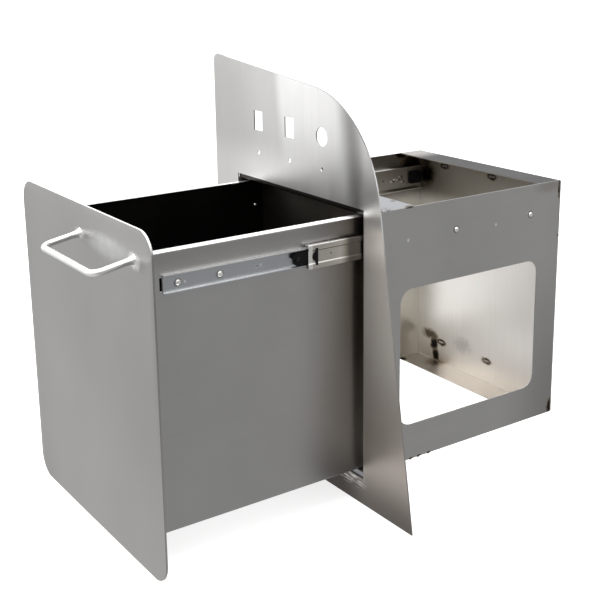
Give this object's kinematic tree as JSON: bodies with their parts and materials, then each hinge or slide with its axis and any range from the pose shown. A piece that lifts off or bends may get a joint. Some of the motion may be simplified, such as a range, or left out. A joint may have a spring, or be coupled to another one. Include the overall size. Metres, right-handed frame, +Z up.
{
  "type": "built-in pull-out waste drawer",
  "caption": "Built-in pull-out waste bin: a folded steel bin on telescopic ball slides, drawn out through a shaped fascia plate from an open sheet-metal chassis with side windows.",
  "frame": {"origin": "on the chassis centre line, on the fascia's rear face, level with the base of the chassis", "axes": "+X to the right seen from the front, +Y into the cabinet (the way the drawer shuts), +Z up"},
  "size_m": [0.516, 0.8039, 0.6397],
  "materials": {
    "stainless": "dull brushed stainless sheet",
    "bin_steel": "mill-finish steel sheet, dark inside",
    "zinc_slide": "bright zinc-plated rolled steel",
    "polished_rod": "polished stainless rod",
    "cage_steel": "pressed steel ball retainer with steel balls",
    "black_plastic": "black moulded nylon",
    "bright_screw": "bright zinc-plated pan-head screw"
  },
  "bodies": {
    "chassis": {"fascia_plate": "stainless", "side_panel_right": "stainless", "side_panel_left": "stainless", "rear_panel": "stainless", "top_front_rail": "stainless", "bottom_front_rail": "stainless", "slide_outer_right": "zinc_slide", "rear_bumper_right": "black_plastic", "slide_outer_left": "zinc_slide", "rear_bumper_left": "black_plastic", "chassis_screw_right_1": "bright_screw", "chassis_screw_right_2": "bright_screw", "chassis_screw_left_1": "bright_screw", "chassis_screw_left_2": "bright_screw"},
    "drawer": {"bin_wrap": "bin_steel", "bin_front_wall": "bin_steel", "bin_rear_wall": "bin_steel", "front_panel": "stainless", "handle": "polished_rod", "slide_inner_right": "zinc_slide", "slide_inner_left": "zinc_slide", "bin_screw_right_1": "bright_screw", "bin_screw_right_2": "bright_screw", "bin_screw_right_3": "bright_screw", "bin_screw_left_1": "bright_screw", "bin_screw_left_2": "bright_screw", "bin_screw_left_3": "bright_screw"},
    "middle_right": {"slide_middle_right": "zinc_slide", "middle_clip_right": "black_plastic"},
    "outer_cage_right": {"outer_cage_right": "cage_steel"},
    "inner_cage_right": {"inner_cage_right": "cage_steel"},
    "lever_right": {"release_lever_right": "black_plastic"},
    "middle_left": {"slide_middle_left": "zinc_slide", "middle_clip_left": "black_plastic"},
    "outer_cage_left": {"outer_cage_left": "cage_steel"},
    "inner_cage_left": {"inner_cage_left": "cage_steel"},
    "lever_left": {"release_lever_left": "black_plastic"}
  },
  "joints": [
    {"name": "drawer_slide", "type": "slide", "parent": "chassis", "child": "drawer", "axis": [0, 1, 0], "range_m": [0, 0.346]},
    {"name": "middle_right_slide", "type": "slide", "parent": "chassis", "child": "middle_right", "axis": [0, 1, 0], "range_m": [0, 0.173]},
    {"name": "outer_cage_right_slide", "type": "slide", "parent": "chassis", "child": "outer_cage_right", "axis": [0, 1, 0], "range_m": [0, 0.0865]},
    {"name": "inner_cage_right_slide", "type": "slide", "parent": "chassis", "child": "inner_cage_right", "axis": [0, 1, 0], "range_m": [0, 0.2595]},
    {"name": "lever_right_pivot", "type": "hinge", "parent": "drawer", "child": "lever_right", "pos_m": [0.155, -0.108, 0.348], "axis": [1, 0, 0], "range_deg": [-6, 6], "stiffness_Nm_per_rad": 0.05},
    {"name": "middle_left_slide", "type": "slide", "parent": "chassis", "child": "middle_left", "axis": [0, 1, 0], "range_m": [0, 0.173]},
    {"name": "outer_cage_left_slide", "type": "slide", "parent": "chassis", "child": "outer_cage_left", "axis": [0, 1, 0], "range_m": [0, 0.0865]},
    {"name": "inner_cage_left_slide", "type": "slide", "parent": "chassis", "child": "inner_cage_left", "axis": [0, 1, 0], "range_m": [0, 0.2595]},
    {"name": "lever_left_pivot", "type": "hinge", "parent": "drawer", "child": "lever_left", "pos_m": [-0.155, -0.108, 0.348], "axis": [1, 0, 0], "range_deg": [-6, 6], "stiffness_Nm_per_rad": 0.05}
  ],
  "couplings": [
    {"joint": "middle_right_slide", "follows": "drawer_slide", "ratio": 0.5},
    {"joint": "outer_cage_right_slide", "follows": "drawer_slide", "ratio": 0.25},
    {"joint": "inner_cage_right_slide", "follows": "drawer_slide", "ratio": 0.75},
    {"joint": "middle_left_slide", "follows": "drawer_slide", "ratio": 0.5},
    {"joint": "outer_cage_left_slide", "follows": "drawer_slide", "ratio": 0.25},
    {"joint": "inner_cage_left_slide", "follows": "drawer_slide", "ratio": 0.75}
  ]
}
